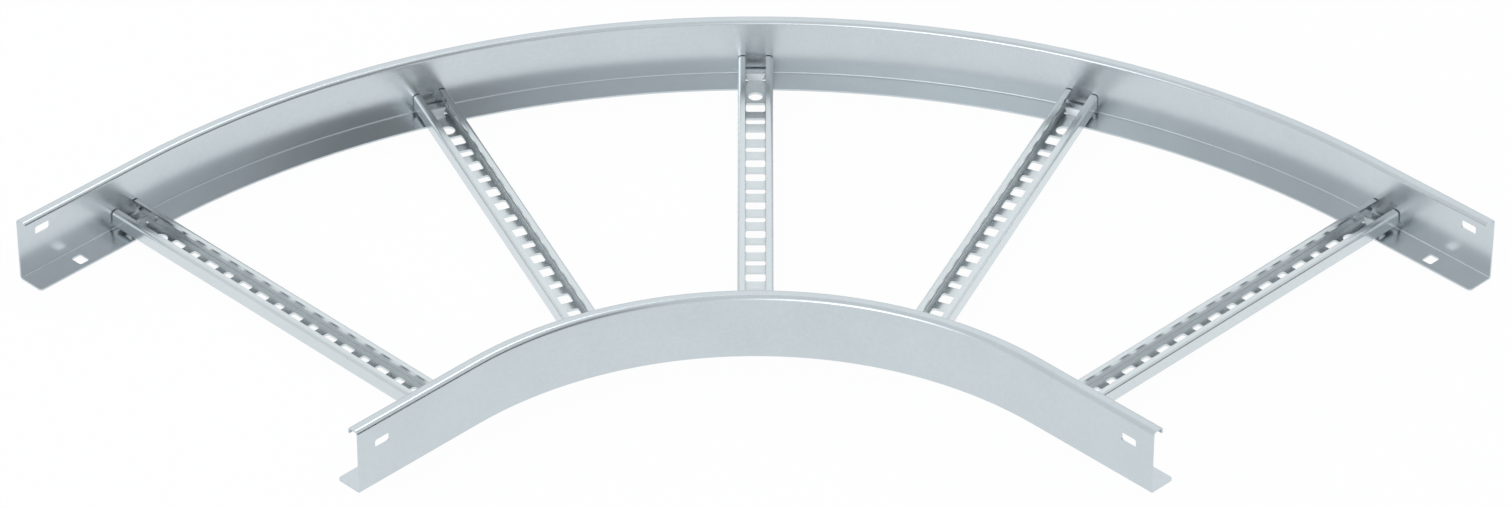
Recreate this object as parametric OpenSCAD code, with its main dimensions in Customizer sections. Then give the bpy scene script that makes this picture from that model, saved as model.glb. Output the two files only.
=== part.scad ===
// Ninety-degree bend of a cable ladder: two bent side rails and five perforated C rungs between them.
// Origin at the middle of the footprint, on the floor. The centre of curvature lies towards -X and -Y.

/* [Bend] */
// Radius of the inner rail's face, on the inside of the bend
inside_radius = 300; // [200:5:600]
// Overall width across both rails
ladder_width = 400; // [200:10:600]
// Straight length of each leg beyond the curve
leg_length = 125; // [95:1:300]
// Distance from the end of the curve to the middle of the rung on the leg
leg_rung_offset = 15.5; // [15:0.5:25]

/* [Rails] */
// Height of the rails
rail_height = 58; // [50:1:110]
// Thickness of the rails' sheet
rail_sheet = 1.5; // [1:0.1:2]
// Width of the bottom flange
bottom_flange = 25.5; // [24:0.5:40]
// Width of the top flange
top_flange = 11; // [9:0.5:20]
// Depth of the lip that turns down from the top flange
lip_depth = 5.5; // [4:0.1:9]
// Outer radius of the bend between the web and the top flange
top_bend_r = 4; // [3:0.1:5]
// Outer radius of the bend between the web and the bottom flange
bottom_bend_r = 2.5; // [2.2:0.1:5]
// Outer radius of the bend between the top flange and its lip
lip_bend_r = 3; // [2.2:0.1:3.5]
// Radius of the bottom flange's corners at the rail's ends
flange_corner_r = 3; // [1:0.5:8]

/* [Slots for couplers] */
// Length of the slot in the web, along the rail
web_slot_length = 15; // [8:0.5:30]
// Height of the slot in the web
web_slot_height = 7.5; // [5:0.5:12]
// Distance from the rail's end to the middle of the web slot
web_slot_setback = 24.5; // [18:0.5:40]
// Distance from the top of the rail to the middle of the web slot
web_slot_drop = 20; // [14:0.5:30]
// Size of the hole in the bottom flange, across the rail
flange_hole_across = 11.5; // [6:0.5:14]
// Size of the hole in the bottom flange, along the rail
flange_hole_along = 9.5; // [6:0.5:20]
// Distance from the rail's end to the middle of the flange hole
flange_hole_setback = 49.5; // [35:0.5:60]
// Distance from the web's outer face to the middle of the flange hole
flange_hole_inset = 15.2; // [12:0.1:16.5]
// Corner radius of the slots and holes
coupler_corner_r = 2; // [0.5:0.1:2.4]

/* [Rungs] */
// Width of a rung
rung_width = 29; // [26:0.5:40]
// Height of a rung
rung_height = 14.3; // [10:0.1:25]
// Thickness of the rungs' sheet
rung_sheet = 2; // [1:0.1:2.5]
// Width of the opening between a rung's lips
rung_opening = 17; // [10:0.5:20]
// Outer radius of a rung's bends
rung_bend_r = 3; // [2.2:0.1:3.2]
// Height of the rung's underside over the rail's bottom flange
rung_lift = 2.6; // [2:0.1:8]
// Gap between the ends of a rung's walls and the webs
rung_end_gap = 1; // [0.5:0.1:2]
// Gap between the ends of a rung's floor and the webs
floor_end_gap = 2.2; // [2:0.1:6]
// Length of the slanted cut at a rung's bottom corners, along the rung
corner_cut_length = 3.5; // [1:0.1:6]
// Height of the slanted cut at a rung's bottom corners
corner_cut_height = 4.5; // [1:0.1:6]

/* [Perforation] */
// Pitch of the slots along a rung
slot_pitch = 20; // [16:0.5:40]
// Length of the slots across a rung
slot_across = 16; // [8:0.5:17]
// Width of the wide slots
wide_slot = 12.5; // [9:0.5:13]
// Width of the narrow slots
narrow_slot = 8.5; // [5:0.5:12]
// Corner radius of the slots
slot_corner_r = 2; // [0.5:0.1:2.4]
// Diameter of the round hole near each end of a rung
end_hole_d = 12; // [6:0.5:14]
// Distance from the web to the middle of the round hole
end_hole_setback = 42; // [36:0.5:60]
// Least land between the round hole and the next slot
slot_land = 3; // [1:0.5:10]

/* [Lugs that hold the rungs] */
// Distance from the web to the lug's front face, at the top of the rung's floor
lug_setback = 18; // [16:0.5:19]
// Angle by which the lug leans back towards the web
lug_lean = 15; // [0:1:20]
// Width of each shoulder of the lug, which carries the rung beside the slot in its floor
lug_shoulder = 0.9; // [0.5:0.1:3]
// Width of the lug's neck, in the slot of the rung's floor
lug_neck = 11; // [6:0.5:14]
// Width of the lug's spread head at its top
lug_head = 16; // [14:0.5:18]
// Height of the head over the rung's floor
lug_rise = 5; // [3:0.1:6]
// Outer radius of the bend at the lug's root
lug_bend_r = 2.5; // [2.2:0.1:3]
// Clearance of the head in the slot of the rung's floor, each side
lug_clearance = 0.25; // [0.1:0.05:0.5]
// Room behind the lug in the slot of the rung's floor
lug_room = 1.8; // [0.5:0.1:3]
// Clearance of the lug in its window in the flange, each side
window_clearance = 0.3; // [0.2:0.1:1]
// Length of the relief slits past the lug's bend
bend_relief = 0.8; // [0.4:0.1:1.5]

/* [Hidden] */

bend_angle = 90;
rung_count = 5;
outside_radius = inside_radius + ladder_width;
inner_web = inside_radius + rail_sheet;
outer_web = outside_radius - rail_sheet;
mid_radius = (inner_web + outer_web) / 2;
half_span = (outer_web - inner_web) / 2;

// Heights over the floor
web_slot_z = rail_height - web_slot_drop;
seat_z = rail_sheet + rung_lift;
floor_top_z = seat_z + rung_sheet;
lug_top_z = floor_top_z + lug_rise;

// Places along a lug's front face, measured from the end of the bend at its root
lug_inner_r = lug_bend_r - rail_sheet;
function along_lug(z) = (z - lug_bend_r + lug_inner_r * sin(lug_lean)) / cos(lug_lean);
lug_tip = along_lug(lug_top_z);

// Start of a lug's bend, measured from the web, and the length of the lug as it lay flat in the flange
lug_root = lug_setback + lug_inner_r * cos(lug_lean) + along_lug(floor_top_z) * sin(lug_lean);
lug_flat = PI * (90 - lug_lean) / 180 * (lug_inner_r + rail_sheet / 2) + lug_tip;

// Slot in a rung's floor that takes the lug's head, with its front edge measured from the web
lug_slot_width = lug_head + 2 * lug_clearance;
lug_slot_front = lug_setback + rung_sheet * tan(lug_lean) + lug_clearance;
lug_slot_length = lug_slot_front - lug_setback + rail_sheet / cos(lug_lean) + lug_room;
lug_width = lug_slot_width + 2 * lug_shoulder;

// Slots on each side of the middle one that fit between the round holes
end_hole_place = half_span - end_hole_setback;
side_slots = floor((end_hole_place - end_hole_d / 2 - slot_land - wide_slot / 2) / slot_pitch);

// Facets of a lug's bend, and the way that an angle points
bend_steps = 8;
function direction(angle) = [cos(angle), sin(angle)];

// Overlap of cuts with the faces they break through
cut = 1;
// Overlap of a lug with the flange that it grows out of
lap = 1;
rail_colour = [0.74, 0.78, 0.80];
rung_colour = [0.80, 0.83, 0.84];
$fn = 48;

// Moves the middle of the footprint to the origin
module centred() {
    middle = (outside_radius - leg_length) / 2;
    translate([-middle, -middle, 0]) children();
}

// Places children on leg 0, which runs along -Y from the curve, or on leg 1, which runs along -X
module on_leg(leg) {
    if (leg == 0) children();
    else rotate(bend_angle) mirror([0, 1, 0]) children();
}

// Places children, drawn along +X from the centre of curvature, on the line of rung number index from 0
module on_rung(index) {
    last = rung_count - 1;
    if (index == 0 || index == last)
        on_leg(index == 0 ? 0 : 1) translate([0, -leg_rung_offset, 0]) children();
    else
        rotate(bend_angle * index / last) children();
}

// Quarter ring of bent sheet round the origin, in the first quadrant
module sheet_bend(outer_r, sheet) {
    intersection() {
        difference() {
            circle(outer_r);
            circle(outer_r - sheet);
        }
        square(outer_r);
    }
}

module rounded_rectangle(size, corner_r) {
    square([size.x - 2 * corner_r, size.y], center = true);
    square([size.x, size.y - 2 * corner_r], center = true);
    for (x = [-1, 1], y = [-1, 1])
        translate([x * (size.x / 2 - corner_r), y * (size.y / 2 - corner_r)]) circle(corner_r);
}

// Section of a rail: web on the left with its outer face at x = 0, flanges to the right, underside at y = 0
module rail_section() {
    translate([0, bottom_bend_r]) square([rail_sheet, rail_height - bottom_bend_r - top_bend_r]);
    translate([bottom_bend_r, bottom_bend_r]) rotate(180) sheet_bend(bottom_bend_r, rail_sheet);
    translate([bottom_bend_r, 0]) square([bottom_flange - bottom_bend_r, rail_sheet]);
    translate([top_bend_r, rail_height - top_bend_r]) rotate(90) sheet_bend(top_bend_r, rail_sheet);
    translate([top_bend_r, rail_height - rail_sheet])
        square([top_flange - top_bend_r - lip_bend_r, rail_sheet]);
    translate([top_flange - lip_bend_r, rail_height - lip_bend_r]) sheet_bend(lip_bend_r, rail_sheet);
    translate([top_flange - rail_sheet, rail_height - lip_depth])
        square([rail_sheet, lip_depth - lip_bend_r]);
}

// Rail along both legs and the curve: face is the radius of the web's outer face, and side points
// from the web to the rungs, 1 outwards or -1 inwards
module swept_rail(face, side) {
    module placed_section() {
        translate([face, 0]) scale_x(side) rail_section();
    }
    rotate_extrude(angle = bend_angle, $fn = 720) placed_section();
    for (leg = [0, 1])
        on_leg(leg) rotate([90, 0, 0]) linear_extrude(leg_length) placed_section();
}

// Mirrors children left to right where side is -1
module scale_x(side) {
    if (side == 1) children();
    else mirror([1, 0, 0]) children();
}

// Cut through the web for a coupler's bolt, on leg 0
module web_slot(face) {
    translate([face, web_slot_setback - leg_length, web_slot_z])
        rotate([90, 0, 90])
        linear_extrude(2 * (rail_sheet + cut), center = true)
        rounded_rectangle([web_slot_length, web_slot_height], coupler_corner_r);
}

// Cut through the bottom flange for a coupler's bolt, on leg 0
module flange_hole(face, side) {
    translate([face + side * flange_hole_inset, flange_hole_setback - leg_length, -cut])
        linear_extrude(rail_sheet + 2 * cut)
        rounded_rectangle([flange_hole_across, flange_hole_along], coupler_corner_r);
}

// Cut that rounds the bottom flange's corner at the end of leg 0
module flange_corner(face, side) {
    translate([face + side * (bottom_flange - flange_corner_r), flange_corner_r - leg_length, -cut])
        linear_extrude(rail_sheet + 2 * cut)
        scale_x(side)
        difference() {
            translate([0, -flange_corner_r - cut]) square(flange_corner_r + cut);
            circle(flange_corner_r);
        }
}

// Window that a lug leaves in the flange, with slits past its bend. x runs from the web towards the rung
module lug_window() {
    size = [lug_flat + bend_relief, lug_width + 2 * window_clearance, rail_sheet + 2 * cut];
    translate([lug_root - lug_flat, -size.y / 2, -cut]) cube(size);
}

// Section of a lug along the rung: root in the flange, bend, and flat that leans towards the web
module lug_section() {
    root_end = lug_root + bend_relief + lap;
    flat_end = 180 + lug_lean;
    turn = (flat_end - 270) / bend_steps;
    over_tip = (lug_tip + rail_sheet) * direction(90 + lug_lean);
    function on_bend(r, angle) = [lug_root, lug_bend_r] + r * direction(angle);
    polygon([
        [root_end, 0],
        for (step = [0 : bend_steps]) on_bend(lug_bend_r, 270 + turn * step),
        on_bend(lug_bend_r, flat_end) + over_tip,
        on_bend(lug_inner_r, flat_end) + over_tip,
        for (step = [bend_steps : -1 : 0]) on_bend(lug_inner_r, 270 + turn * step),
        [root_end, rail_sheet]
    ]);
}

// Front view of a lug: shoulders under the rung's floor, neck and spread head
module lug_outline() {
    translate([-lug_width / 2 - cut, -cut]) square([lug_width + 2 * cut, seat_z + cut]);
    translate([-lug_neck / 2, 0]) square([lug_neck, floor_top_z]);
    polygon([
        [-lug_neck / 2, floor_top_z], [lug_neck / 2, floor_top_z],
        [lug_head / 2, lug_top_z], [-lug_head / 2, lug_top_z]
    ]);
}

module lug() {
    intersection() {
        rotate([90, 0, 0]) linear_extrude(lug_width, center = true) lug_section();
        rotate([90, 0, 90]) linear_extrude(lug_root + bend_relief + lap + cut) lug_outline();
    }
}

module rail(face, side) {
    module at_lugs() {
        for (index = [0 : rung_count - 1])
            on_rung(index) translate([face + side * rail_sheet, 0, 0]) scale_x(side) children();
    }
    centred() union() {
        difference() {
            swept_rail(face, side);
            for (leg = [0, 1]) on_leg(leg) {
                web_slot(face);
                flange_hole(face, side);
                flange_corner(face, side);
            }
            at_lugs() lug_window();
        }
        at_lugs() lug();
    }
}

module inner_rail() {
    color(rail_colour) rail(inside_radius, 1);
}

module outer_rail() {
    color(rail_colour) rail(outside_radius, -1);
}

// Section of a rung, open at the top, with its underside at y = 0
module rung_section() {
    side = rung_width / 2 - rung_bend_r;
    translate([-side, 0]) square([2 * side, rung_sheet]);
    for (hand = [1, -1]) scale_x(hand) {
        translate([side, rung_bend_r]) rotate(-90) sheet_bend(rung_bend_r, rung_sheet);
        translate([rung_width / 2 - rung_sheet, rung_bend_r])
            square([rung_sheet, rung_height - 2 * rung_bend_r]);
        translate([side, rung_height - rung_bend_r]) sheet_bend(rung_bend_r, rung_sheet);
        translate([rung_opening / 2, rung_height - rung_sheet])
            square([side - rung_opening / 2, rung_sheet]);
    }
}

// Narrow slots stand next to the middle slot of each group of five and at its edge
function is_narrow(place) = abs(place) % 5 == 1 || abs(place) % 5 == 4;

// Outlines of all openings in a rung's floor, with x measured from the middle of the rung
module rung_perforation() {
    for (place = [-side_slots : side_slots])
        translate([place * slot_pitch, 0])
            rounded_rectangle([is_narrow(place) ? narrow_slot : wide_slot, slot_across], slot_corner_r);
    for (end = [-1, 1]) {
        translate([end * end_hole_place, 0]) circle(d = end_hole_d);
        translate([end * (half_span - lug_slot_front + lug_slot_length / 2), 0])
            square([lug_slot_length, lug_slot_width], center = true);
    }
}

// Cut that sets the flat of a rung's floor back from the web, at the end in +X or -X
module floor_setback(end) {
    width = rung_width - 2 * rung_bend_r;
    translate([end * (half_span - floor_end_gap), 0, 0])
        scale_x(end)
        translate([0, -width / 2, -cut])
        cube([floor_end_gap + cut, width, rung_sheet + 2 * cut]);
}

// Cut that slants a rung's walls and bends at their foot, at the end in +X or -X
module corner_cut(end) {
    depth = rung_bend_r + cut;
    for (hand = [1, -1])
        translate([end * (half_span - rung_end_gap), hand * (rung_width / 2 + cut - depth / 2), 0])
            scale_x(end)
            rotate([90, 0, 0])
            linear_extrude(depth, center = true)
            polygon([
                [-corner_cut_length, -cut], [-corner_cut_length, 0], [0, corner_cut_height],
                [cut, corner_cut_height], [cut, -cut]
            ]);
}

module rung(index) {
    length = 2 * (half_span - rung_end_gap);
    color(rung_colour) centred() on_rung(index) translate([mid_radius, 0, seat_z]) difference() {
        rotate([90, 0, 90]) linear_extrude(length, center = true) rung_section();
        translate([0, 0, -cut]) linear_extrude(rung_sheet + 2 * cut) rung_perforation();
        for (end = [-1, 1]) {
            floor_setback(end);
            corner_cut(end);
        }
    }
}

inner_rail();
outer_rail();
for (index = [0 : rung_count - 1])
    rung(index);
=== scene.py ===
"""Studio scene of a galvanised cable ladder bend: zinc on its rails and rungs, floor, light and camera."""

import math

import bpy
from bpy.props import FloatProperty, FloatVectorProperty, PointerProperty
from bpy.types import Operator, Panel, PropertyGroup
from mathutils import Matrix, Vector

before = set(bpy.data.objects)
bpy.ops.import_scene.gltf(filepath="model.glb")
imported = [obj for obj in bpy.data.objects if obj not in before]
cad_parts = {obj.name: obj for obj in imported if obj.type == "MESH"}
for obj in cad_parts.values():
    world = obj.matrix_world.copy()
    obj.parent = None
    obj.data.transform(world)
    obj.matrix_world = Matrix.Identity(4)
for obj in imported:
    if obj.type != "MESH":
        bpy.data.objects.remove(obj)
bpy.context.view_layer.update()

bl_info = {
    "name": "Cable Ladder Bend",
    "version": (1, 0, 0),
    "blender": (4, 5, 0),
    "location": "3D View > Sidebar > Ladder",
    "description": "Gives a cable ladder bend its galvanised finish and sets up the studio round it",
    "category": "Object",
}

RAILS = ("inner_rail", "outer_rail")
RUNGS = tuple(sorted(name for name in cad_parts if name.startswith("rung_")))

# The line that halves the bend points from its centre of curvature to the back of the picture
BACK = Vector((1.0, 1.0, 0.0)).normalized()
RIGHT = Vector((1.0, -1.0, 0.0)).normalized()
UP = Vector((0.0, 0.0, 1.0))

# Patches of light and shade on the studio's walls, in degrees: azimuth to the right of the camera's side,
# elevation, half width and half height
PATCHES = {
    "back": (180, 35, 80, 34),
    "key": (-27, 10, 38, 28),
    "flag": (49, 34, 29, 36),
    "skirt": (76, 4, 44, 25),
}
PATCH_ANGLES = ("Middle Azimuth", "Middle Elevation", "Half Width", "Half Height")

# Heights in metres between which a rail has no sloping face but those of its lugs, and how far the normal of
# such a face points up at the least
LUG_LOW = 0.004
LUG_HIGH = 0.020
LUG_SLOPE = 0.1

# Octaves and roughness of the noise in the zinc, and the factors that bring the swing of a noise and of a
# crystal's random value to about one each way
CLOUD_DETAIL = 3.0
GRAIN_DETAIL = 2.0
NOISE_ROUGHNESS = 0.55
CLOUD_GAIN = 4.0
SPANGLE_GAIN = 2.0

WHITE = (1.0, 1.0, 1.0, 1.0)

# Width of the camera's sensor in millimetres, and the end of its sight as a multiple of its distance
SENSOR_WIDTH = 36.0
CLIP_DISTANCES = 4


class LadderFinish(PropertyGroup):
    """Zinc coat of the sheet steel, with a painted highlight on the rails' lugs."""

    rail_colour: FloatVectorProperty(
        name="Rail Zinc", description="Colour of the zinc on the rails", subtype="COLOR",
        size=3, min=0.0, max=1.0, default=(0.634, 0.664, 0.682))
    rung_colour: FloatVectorProperty(
        name="Rung Zinc", description="Colour of the zinc on the rungs", subtype="COLOR",
        size=3, min=0.0, max=1.0, default=(0.705, 0.730, 0.740))
    rail_roughness: FloatProperty(
        name="Rail Roughness", description="Roughness of the rails' satin surface", subtype="FACTOR",
        min=0.0, max=1.0, default=0.25)
    rung_roughness: FloatProperty(
        name="Rung Roughness", description="Roughness of the rungs' satin surface", subtype="FACTOR",
        min=0.0, max=1.0, default=0.23)
    # The lugs' colour is a painted highlight: lighter than the rails' zinc, standing in for the light their
    # faces catch
    lug_highlight_colour: FloatVectorProperty(
        name="Lug Painted Highlight", description="Painted highlight colour on the faces of the lugs that hold the rungs",
        subtype="COLOR", size=3, min=0.0, max=1.0, default=(0.86, 0.885, 0.90))
    lug_roughness: FloatProperty(
        name="Lug Roughness", description="Roughness of the lugs' front faces", subtype="FACTOR",
        min=0.0, max=1.0, default=0.45)
    lug_dish: FloatProperty(
        name="Lug Dish", description="How far the lugs' dished faces turn up, as a share of their normal",
        subtype="FACTOR", min=0.0, max=1.0, default=0.2)
    cloud_size: FloatProperty(
        name="Cloud Size", description="Width of the soft clouds in the zinc", unit="LENGTH",
        min=0.001, default=0.055)
    cloud_depth: FloatProperty(
        name="Cloud Depth", description="How much the clouds change the zinc's brightness", subtype="FACTOR",
        min=0.0, max=1.0, default=0.022)
    spangle_size: FloatProperty(
        name="Spangle Size", description="Width of the zinc's crystals", unit="LENGTH",
        min=0.0005, default=0.0022)
    spangle_depth: FloatProperty(
        name="Spangle Depth", description="How much the crystals change the zinc's brightness",
        subtype="FACTOR", min=0.0, max=1.0, default=0.014)
    grain_size: FloatProperty(
        name="Grain Size", description="Width of the fine grain that the rolls leave", unit="LENGTH",
        min=0.0001, default=0.0006)
    grain_depth: FloatProperty(
        name="Grain Depth", description="Depth of the fine grain", unit="LENGTH",
        min=0.0, default=0.000002)


class LadderStudio(PropertyGroup):
    """Floor and soft light."""

    floor_colour: FloatVectorProperty(
        name="Floor", description="Colour of the pale floor", subtype="COLOR",
        size=3, min=0.0, max=1.0, default=(0.94, 0.945, 0.95))
    floor_size: FloatProperty(
        name="Floor Size", description="Side of the square floor", unit="LENGTH", min=1.0, default=80.0)
    floor_white: FloatProperty(
        name="Floor White", description="Share of plain white in the floor as the camera sees it",
        subtype="FACTOR", min=0.0, max=1.0, default=0.962)
    floor_mirrored: FloatProperty(
        name="Mirrored White", description="Share of plain white in the floor as the metal shows it",
        subtype="FACTOR", min=0.0, max=1.0, default=1.0)
    light_colour: FloatVectorProperty(
        name="Light", description="Cool colour of the studio's light", subtype="COLOR",
        size=3, min=0.0, max=1.0, default=(0.925, 0.975, 1.0))
    room: FloatProperty(
        name="Room", description="Brightness of the pale room all round", min=0.0, default=0.86)
    back: FloatProperty(
        name="Back", description="Light that the pale wall behind the bend adds", min=0.0, default=0.18)
    key: FloatProperty(
        name="Key", description="Light that the low softbox in front on the left adds", min=0.0, default=2.3)
    rim: FloatProperty(
        name="Rim", description="Power of the lamp behind the bend, in watts", min=0.0, default=0.20)
    rim_size: FloatProperty(
        name="Rim Size", description="Side of the square lamp", unit="LENGTH", min=0.01, default=1.0)
    rim_spread: FloatProperty(
        name="Rim Spread", description="Angle that the lamp's light fills", subtype="ANGLE",
        min=0.1, max=math.pi, default=math.radians(20))
    rim_place: FloatVectorProperty(
        name="Rim Place", description="Place of the lamp: right of, behind and over the bend's middle",
        unit="LENGTH", size=3, default=(0.22, 1.73, 2.45))
    rim_aim: FloatVectorProperty(
        name="Rim Aim", description="Point that the lamp faces: right of, behind and over the bend's middle",
        unit="LENGTH", size=3, default=(-0.46, 0.05, 0.055))
    flag: FloatProperty(
        name="Flag", description="Light that the dark flag in front on the right takes away",
        max=0.0, default=-0.64)
    skirt: FloatProperty(
        name="Skirt", description="Light that the low dark curtain on the right takes away",
        max=0.0, default=-1.1)


class LadderCamera(PropertyGroup):
    """View of the ladder from the inside of its bend."""

    distance: FloatProperty(
        name="Distance", description="Distance from the camera to the point it looks at", unit="LENGTH",
        min=0.1, default=5.4888)
    elevation: FloatProperty(
        name="Elevation", description="Angle of the camera over the floor", subtype="ANGLE",
        default=math.radians(35.195))
    lens: FloatProperty(
        name="Lens", description="Focal length in millimetres on a sensor 36 mm wide", min=10.0, default=165.53)
    aim_back: FloatProperty(
        name="Aim Back", description="Place of the point looked at, along the line that halves the bend",
        unit="LENGTH", default=-0.00898)
    aim_height: FloatProperty(
        name="Aim Height", description="Height of the point looked at", unit="LENGTH", default=0.030)


def add_node(tree, kind, at, **settings):
    """New node of a tree, with its attributes set by name."""
    node = tree.nodes.new(kind)
    node.location = at
    for name, value in settings.items():
        setattr(node, name, value)
    return node


def fill(node, **values):
    """Sets a node's inputs by name, where an underscore stands for a space."""
    for name, value in values.items():
        node.inputs[name.replace("_", " ")].default_value = value
    return node


def plug(tree, value, socket):
    """Feeds an input from another node's socket or from a constant."""
    if isinstance(value, bpy.types.NodeSocket):
        tree.links.new(value, socket)
    else:
        socket.default_value = value


def math_node(tree, at, operation, first, second):
    """Math node of two values, each a socket or a number."""
    node = add_node(tree, "ShaderNodeMath", at, operation=operation)
    for socket, value in zip(node.inputs, (first, second)):
        plug(tree, value, socket)
    return node.outputs[0]


def vector_node(tree, at, operation, *values):
    """Vector math node of one or two vectors, each a socket or a constant."""
    node = add_node(tree, "ShaderNodeVectorMath", at, operation=operation)
    for socket, value in zip(node.inputs, values):
        plug(tree, value, socket)
    return node


def group_node(tree, at, group):
    """Node that uses a node group."""
    node = add_node(tree, "ShaderNodeGroup", at)
    node.node_tree = group
    return node


def mix_node(tree, at, kind, factor, first, second):
    """Mix node of two colours or values, each a socket or a constant."""
    node = add_node(tree, "ShaderNodeMix", at, data_type=kind)
    used = [socket for socket in node.inputs if socket.enabled]
    for socket, value in zip(used, (factor, first, second)):
        plug(tree, value, socket)
    return next(socket for socket in node.outputs if socket.enabled)


def zinc_group():
    """Node group of hot-dip zinc: soft clouds, small crystals and the grain of the rolls."""
    tree = bpy.data.node_groups.new("Zinc Coat", "ShaderNodeTree")
    sockets = (
        ("INPUT", "Zinc", "NodeSocketColor"), ("INPUT", "Roughness", "NodeSocketFloat"),
        ("INPUT", "Cloud Size", "NodeSocketFloat"), ("INPUT", "Cloud Depth", "NodeSocketFloat"),
        ("INPUT", "Spangle Size", "NodeSocketFloat"), ("INPUT", "Spangle Depth", "NodeSocketFloat"),
        ("INPUT", "Grain Size", "NodeSocketFloat"),
        ("OUTPUT", "Colour", "NodeSocketColor"), ("OUTPUT", "Roughness", "NodeSocketFloat"),
        ("OUTPUT", "Grain", "NodeSocketFloat"),
    )
    for way, name, kind in sockets:
        tree.interface.new_socket(name, in_out=way, socket_type=kind)
    given = add_node(tree, "NodeGroupInput", (-1100, 0)).outputs
    made = add_node(tree, "NodeGroupOutput", (700, 0)).inputs
    place = add_node(tree, "ShaderNodeTexCoord", (-1100, 300)).outputs["Object"]

    def scaled(node, size):
        left, top = node.location
        scale = math_node(tree, (left - 200, top - 120), "DIVIDE", 1.0, size)
        tree.links.new(scale, node.inputs["Scale"])
        tree.links.new(place, node.inputs["Vector"])
        return node.outputs

    def noise(at, size, detail):
        node = fill(add_node(tree, "ShaderNodeTexNoise", at), Detail=detail, Roughness=NOISE_ROUGHNESS)
        return scaled(node, size)["Fac"]

    def swing(at, value, depth, gain):
        left, top = at
        reach = math_node(tree, (left, top + 150), "MULTIPLY", depth, gain)
        centred = math_node(tree, at, "SUBTRACT", value, 0.5)
        return math_node(tree, (left + 180, top), "MULTIPLY", centred, reach)

    clouds = noise((-600, 300), given["Cloud Size"], CLOUD_DETAIL)
    crystals = scaled(add_node(tree, "ShaderNodeTexVoronoi", (-600, 0)), given["Spangle Size"])
    facet = add_node(tree, "ShaderNodeSeparateColor", (-400, 0))
    tree.links.new(crystals["Color"], facet.inputs[0])
    cloud_swing = swing((-350, 300), clouds, given["Cloud Depth"], CLOUD_GAIN)
    facet_swing = swing((-220, 0), facet.outputs[0], given["Spangle Depth"], SPANGLE_GAIN)
    both = math_node(tree, (100, 200), "ADD", cloud_swing, facet_swing)
    level = math_node(tree, (260, 200), "ADD", both, 1.0)
    tint = vector_node(tree, (440, 200), "SCALE", given["Zinc"])
    tree.links.new(level, tint.inputs["Scale"])
    tree.links.new(tint.outputs["Vector"], made["Colour"])
    duller = math_node(tree, (260, -100), "SUBTRACT", 1.0, both)
    rough = math_node(tree, (440, -100), "MULTIPLY", given["Roughness"], duller)
    tree.links.new(rough, made["Roughness"])
    tree.links.new(noise((-600, -300), given["Grain Size"], GRAIN_DETAIL), made["Grain"])
    return tree


def galvanised(name, colour, roughness, finish):
    """Material of galvanised sheet steel with its own zinc colour and roughness."""
    material = bpy.data.materials.new(name)
    material.use_nodes = True
    tree = material.node_tree
    steel = tree.nodes["Principled BSDF"]
    fill(steel, Metallic=1.0)
    coat = group_node(tree, (-500, 200), bpy.data.node_groups.get("Zinc Coat") or zinc_group())
    fill(coat, Zinc=(*colour, 1.0), Roughness=roughness, Cloud_Size=finish.cloud_size,
         Cloud_Depth=finish.cloud_depth, Spangle_Size=finish.spangle_size,
         Spangle_Depth=finish.spangle_depth, Grain_Size=finish.grain_size)
    bump = fill(add_node(tree, "ShaderNodeBump", (-250, -100)), Strength=1.0, Distance=finish.grain_depth)
    tree.links.new(coat.outputs["Grain"], bump.inputs["Height"])
    tree.links.new(bump.outputs["Normal"], steel.inputs["Normal"])
    tree.links.new(coat.outputs["Colour"], steel.inputs["Base Color"])
    tree.links.new(coat.outputs["Roughness"], steel.inputs["Roughness"])
    return material


def lug_group():
    """Node group that marks the sloping faces between two heights."""
    tree = bpy.data.node_groups.new("Lug Faces", "ShaderNodeTree")
    for name in ("Low", "High", "Slope"):
        tree.interface.new_socket(name, in_out="INPUT", socket_type="NodeSocketFloat")
    tree.interface.new_socket("Mask", in_out="OUTPUT", socket_type="NodeSocketFloat")
    given = add_node(tree, "NodeGroupInput", (-700, -200)).outputs
    made = add_node(tree, "NodeGroupOutput", (500, 0)).inputs
    spot = add_node(tree, "ShaderNodeTexCoord", (-700, 200)).outputs

    def upward(height, source):
        node = add_node(tree, "ShaderNodeSeparateXYZ", (-450, height))
        tree.links.new(spot[source], node.inputs[0])
        return node.outputs["Z"]

    place = upward(200, "Object")
    over = math_node(tree, (-200, 300), "GREATER_THAN", place, given["Low"])
    under = math_node(tree, (-200, 100), "LESS_THAN", place, given["High"])
    sloped = math_node(tree, (-200, -100), "GREATER_THAN", upward(-100, "Normal"), given["Slope"])
    between = math_node(tree, (50, 200), "MULTIPLY", over, under)
    tree.links.new(math_node(tree, (250, 0), "MULTIPLY", between, sloped), made["Mask"])
    return tree


def paint_lug_highlights(material, finish):
    """Mixes a painted highlight into the rails' colour on the lugs' front faces, and turns the shading of their
    faces up.
    """
    tree = material.node_tree
    steel = tree.nodes["Principled BSDF"].inputs
    faces = fill(group_node(tree, (-700, 500), lug_group()), Low=LUG_LOW, High=LUG_HIGH, Slope=LUG_SLOPE)
    mask = faces.outputs["Mask"]

    def source(name):
        return steel[name].links[0].from_socket

    # Painted highlight: the lugs' front faces take a lighter colour that stands in for the light they catch
    painted_lug_highlight = (*finish.lug_highlight_colour, 1.0)
    colour = mix_node(tree, (-250, 400), "RGBA", mask, source("Base Color"), painted_lug_highlight)
    rough = mix_node(tree, (-250, 200), "FLOAT", mask, source("Roughness"), finish.lug_roughness)
    lift = add_node(tree, "ShaderNodeCombineXYZ", (-450, -300))
    tree.links.new(math_node(tree, (-650, -300), "MULTIPLY", mask, finish.lug_dish), lift.inputs["Z"])
    turned = vector_node(tree, (-250, -300), "ADD", source("Normal"), lift.outputs["Vector"])
    unit = vector_node(tree, (-50, -300), "NORMALIZE", turned.outputs["Vector"])
    for name, socket in (("Base Color", colour), ("Roughness", rough), ("Normal", unit.outputs["Vector"])):
        tree.links.new(socket, steel[name])


def dress(names, material):
    """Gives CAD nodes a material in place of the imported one."""
    for name in names:
        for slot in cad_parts[name].material_slots:
            slot.material = material


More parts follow.
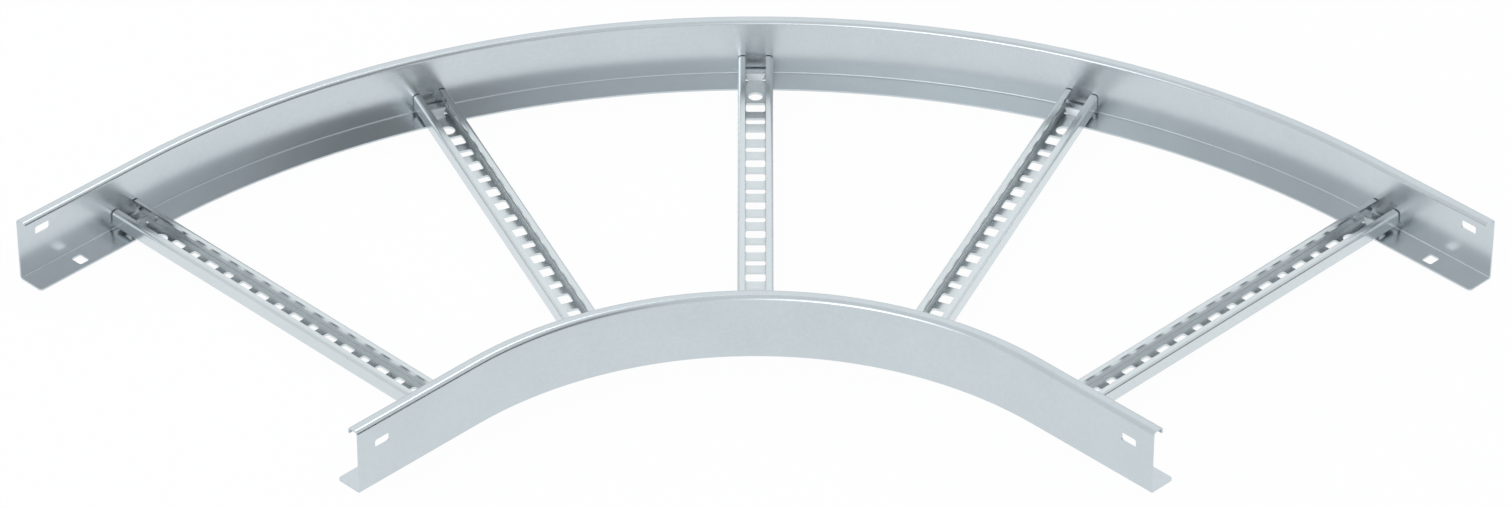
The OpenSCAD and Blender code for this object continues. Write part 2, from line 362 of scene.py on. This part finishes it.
class LADDER_OT_finish_rails(Operator):
    """Give both side rails their galvanised finish, with a painted highlight on their lugs' faces"""

    bl_idname = "ladder.finish_rails"
    bl_label = "Finish Rails"

    def execute(self, context):
        finish = context.scene.ladder_finish
        material = galvanised("Galvanised Rail", finish.rail_colour, finish.rail_roughness, finish)
        paint_lug_highlights(material, finish)
        dress(RAILS, material)
        return {"FINISHED"}


class LADDER_OT_finish_rungs(Operator):
    """Give the perforated rungs their galvanised finish"""

    bl_idname = "ladder.finish_rungs"
    bl_label = "Finish Rungs"

    def execute(self, context):
        finish = context.scene.ladder_finish
        if not RUNGS:
            raise RuntimeError("the frame has no rungs to finish")
        dress(RUNGS, galvanised("Galvanised Rung", finish.rung_colour, finish.rung_roughness, finish))
        return {"FINISHED"}


def floor_material(studio):
    """Pale matt floor that looks white to the camera and in the metal, and keeps a soft shadow."""
    material = bpy.data.materials.new("Pale Floor")
    material.use_nodes = True
    tree = material.node_tree
    matt = tree.nodes["Principled BSDF"]
    fill(matt, Base_Color=(*studio.floor_colour, 1.0), Roughness=1.0, Specular_IOR_Level=0.0)
    white = fill(add_node(tree, "ShaderNodeEmission", (200, -400)), Strength=1.0)
    path = add_node(tree, "ShaderNodeLightPath", (-400, 500)).outputs
    cool = (*studio.light_colour, 1.0)
    tone = mix_node(tree, (0, -400), "RGBA", path["Is Camera Ray"], cool, WHITE)
    tree.links.new(tone, white.inputs["Color"])
    direct = math_node(tree, (-200, 600), "MULTIPLY", path["Is Camera Ray"], studio.floor_white)
    bounced = math_node(tree, (-200, 400), "MAXIMUM", path["Is Glossy Ray"], path["Is Transmission Ray"])
    mirrored = math_node(tree, (0, 400), "MULTIPLY", bounced, studio.floor_mirrored)
    share = math_node(tree, (200, 500), "MAXIMUM", direct, mirrored)
    mix = add_node(tree, "ShaderNodeMixShader", (400, 0))
    tree.links.new(share, mix.inputs[0])
    tree.links.new(matt.outputs[0], mix.inputs[1])
    tree.links.new(white.outputs[0], mix.inputs[2])
    tree.links.new(mix.outputs[0], tree.nodes["Material Output"].inputs["Surface"])
    return material


def make_floor(studio):
    """Square floor under the bend."""
    half = studio.floor_size / 2
    corners = [(-half, -half, 0.0), (half, -half, 0.0), (half, half, 0.0), (-half, half, 0.0)]
    mesh = bpy.data.meshes.new("floor")
    mesh.from_pydata(corners, [], [(0, 1, 2, 3)])
    mesh.materials.append(floor_material(studio))
    floor = bpy.data.objects.new("floor", mesh)
    bpy.context.scene.collection.objects.link(floor)


def patch_group():
    """Node group of a soft-edged patch on the studio's walls, by its azimuth, elevation and half sizes."""
    tree = bpy.data.node_groups.new("Studio Patch", "ShaderNodeTree")
    for name in ("Azimuth", "Elevation", *PATCH_ANGLES, "Level"):
        tree.interface.new_socket(name, in_out="INPUT", socket_type="NodeSocketFloat")
    tree.interface.new_socket("Level", in_out="OUTPUT", socket_type="NodeSocketFloat")
    given = add_node(tree, "NodeGroupInput", (-900, 0)).outputs
    made = add_node(tree, "NodeGroupOutput", (500, 0)).inputs

    def fade(height, angle, middle, half):
        off = math_node(tree, (-700, height), "SUBTRACT", given[angle], given[middle])
        off = math_node(tree, (-500, height), "ABSOLUTE", off, 0.0)
        # More than half a turn is measured the other way round
        off = math_node(tree, (-400, height), "PINGPONG", off, math.pi)
        soft = fill(add_node(tree, "ShaderNodeMapRange", (-300, height), interpolation_type="SMOOTHSTEP"),
                    From_Min=0.0, To_Min=1.0, To_Max=0.0)
        tree.links.new(off, soft.inputs["Value"])
        tree.links.new(given[half], soft.inputs["From Max"])
        return soft.outputs["Result"]

    across = fade(200, "Azimuth", "Middle Azimuth", "Half Width")
    upward = fade(-200, "Elevation", "Middle Elevation", "Half Height")
    share = math_node(tree, (0, 0), "MULTIPLY", across, upward)
    tree.links.new(math_node(tree, (250, 0), "MULTIPLY", share, given["Level"]), made["Level"])
    return tree


def make_world(studio):
    """Pale room: lighter wall behind, low softbox in front on the left, dark flag and curtain on the right."""
    world = bpy.data.worlds.new("Studio")
    bpy.context.scene.world = world
    world.use_nodes = True
    tree = world.node_tree
    way = add_node(tree, "ShaderNodeTexCoord", (-1300, 0)).outputs["Generated"]

    def along(axis, height):
        return vector_node(tree, (-1100, height), "DOT_PRODUCT", way, axis).outputs["Value"]

    azimuth = math_node(tree, (-850, 200), "ARCTAN2", along(RIGHT, 300), along(-BACK, 100))
    elevation = math_node(tree, (-850, -100), "ARCSINE", along(UP, -100), 0.0)
    level = studio.room
    group = patch_group()
    for step, (name, patch) in enumerate(PATCHES.items()):
        node = group_node(tree, (-600 + 250 * step, 200), group)
        for socket, angle in zip(PATCH_ANGLES, patch):
            node.inputs[socket].default_value = math.radians(angle)
        node.inputs["Level"].default_value = getattr(studio, name)
        tree.links.new(azimuth, node.inputs["Azimuth"])
        tree.links.new(elevation, node.inputs["Elevation"])
        level = math_node(tree, (-500 + 250 * step, -200), "ADD", node.outputs["Level"], level)
    lit = math_node(tree, (-200 + 250 * len(PATCHES), -200), "MAXIMUM", level, 0.0)
    tree.links.new(lit, tree.nodes["Background"].inputs["Strength"])
    fill(tree.nodes["Background"], Color=(*studio.light_colour, 1.0))


def in_view(place):
    """Point of the frame from its distances right of, behind and over the bend's middle."""
    return RIGHT * place[0] + BACK * place[1] + UP * place[2]


def make_rim(studio):
    """Square lamp behind the bend that lights the edges of its left leg."""
    data = bpy.data.lights.new("rim", "AREA")
    data.size = studio.rim_size
    data.spread = studio.rim_spread
    data.energy = studio.rim
    data.color = studio.light_colour
    lamp = bpy.data.objects.new("rim", data)
    lamp.visible_camera = False
    lamp.location = in_view(studio.rim_place)
    lamp.rotation_mode = "QUATERNION"
    lamp.rotation_quaternion = (in_view(studio.rim_aim) - lamp.location).to_track_quat("-Z", "Y")
    bpy.context.scene.collection.objects.link(lamp)


def make_camera(view):
    """Camera on the inside of the bend, on the line that halves it."""
    aim = BACK * view.aim_back + UP * view.aim_height
    toward = UP * math.sin(view.elevation) - BACK * math.cos(view.elevation)
    data = bpy.data.cameras.new("camera")
    data.sensor_fit = "HORIZONTAL"
    data.sensor_width = SENSOR_WIDTH
    data.lens = view.lens
    data.clip_end = CLIP_DISTANCES * view.distance
    camera = bpy.data.objects.new("camera", data)
    camera.location = aim + toward * view.distance
    camera.rotation_mode = "QUATERNION"
    camera.rotation_quaternion = (-toward).to_track_quat("-Z", "Y")
    bpy.context.scene.collection.objects.link(camera)
    bpy.context.scene.camera = camera


class LADDER_OT_build_stage(Operator):
    """Lay the pale floor and set up the soft light and the camera"""

    bl_idname = "ladder.build_stage"
    bl_label = "Build Stage"

    def execute(self, context):
        studio = context.scene.ladder_studio
        context.scene.view_settings.view_transform = "Standard"
        make_floor(studio)
        make_world(studio)
        make_rim(studio)
        make_camera(context.scene.ladder_camera)
        return {"FINISHED"}


class LADDER_PT_studio(Panel):
    """Steps and settings of the ladder's scene"""

    bl_idname = "LADDER_PT_studio"
    bl_label = "Cable Ladder Bend"
    bl_space_type = "VIEW_3D"
    bl_region_type = "UI"
    bl_category = "Ladder"

    def draw(self, context):
        scene = context.scene
        for settings in (scene.ladder_finish, scene.ladder_studio, scene.ladder_camera):
            box = self.layout.box()
            for name in settings.__annotations__:
                box.prop(settings, name)
        for step in OPERATORS:
            self.layout.operator(step.bl_idname)


GROUPS = {"ladder_finish": LadderFinish, "ladder_studio": LadderStudio, "ladder_camera": LadderCamera}
OPERATORS = (LADDER_OT_finish_rails, LADDER_OT_finish_rungs, LADDER_OT_build_stage)
CLASSES = (*GROUPS.values(), *OPERATORS, LADDER_PT_studio)


def register():
    """Registers the classes and puts their settings on the scene."""
    for item in CLASSES:
        bpy.utils.register_class(item)
    for name, group in GROUPS.items():
        setattr(bpy.types.Scene, name, PointerProperty(type=group))


def unregister():
    """Takes the settings off the scene and unregisters the classes."""
    for name in GROUPS:
        delattr(bpy.types.Scene, name)
    for item in reversed(CLASSES):
        bpy.utils.unregister_class(item)


def main():
    """Runs every step in order."""
    register()
    bpy.ops.ladder.finish_rails()
    bpy.ops.ladder.finish_rungs()
    bpy.ops.ladder.build_stage()


if __name__ == "__main__":
    main()
